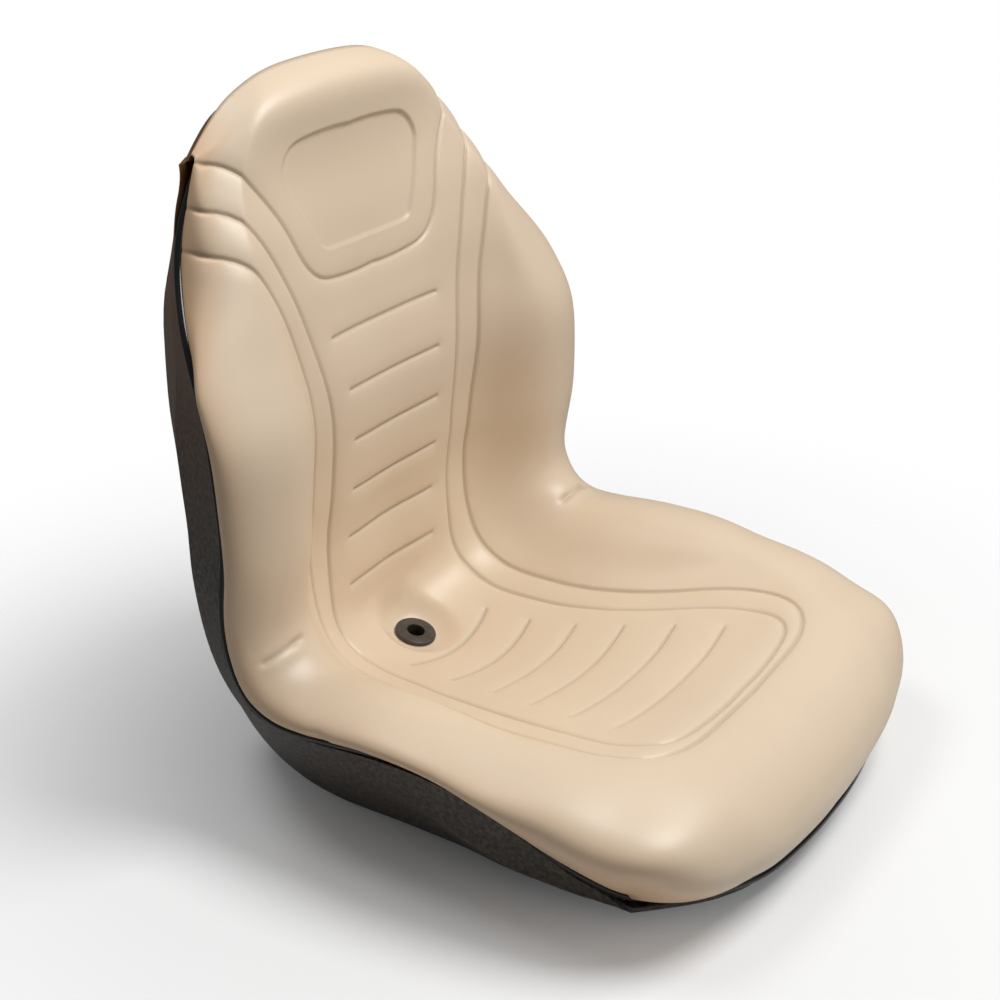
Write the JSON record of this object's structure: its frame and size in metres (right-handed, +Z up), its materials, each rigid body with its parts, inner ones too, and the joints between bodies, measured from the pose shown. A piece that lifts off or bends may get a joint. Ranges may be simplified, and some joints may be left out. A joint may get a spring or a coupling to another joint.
{
  "type": "seat",
  "caption": "High-back bucket seat for a ride-on garden machine: a grooved moulded cushion in a moulded shell with edge trim, a drain and threaded mounting inserts.",
  "frame": {"origin": "centre of the four mounting holes, on the plane of the seat's underside", "axes": "+X across the seat to the sitter's left, -Y to the front, +Z up"},
  "size_m": [0.4888, 0.5232, 0.557],
  "materials": {
    "vinyl": "satin vinyl",
    "shell_plastic": "fine grained",
    "trim": "glossy",
    "drain": "matt",
    "steel": "zinc plated"
  },
  "bodies": {
    "root": {"cushion": "vinyl", "shell": "shell_plastic", "edge_trim": "trim", "drain_grommet": "drain", "mount_inserts": "steel"}
  },
  "joints": []
}
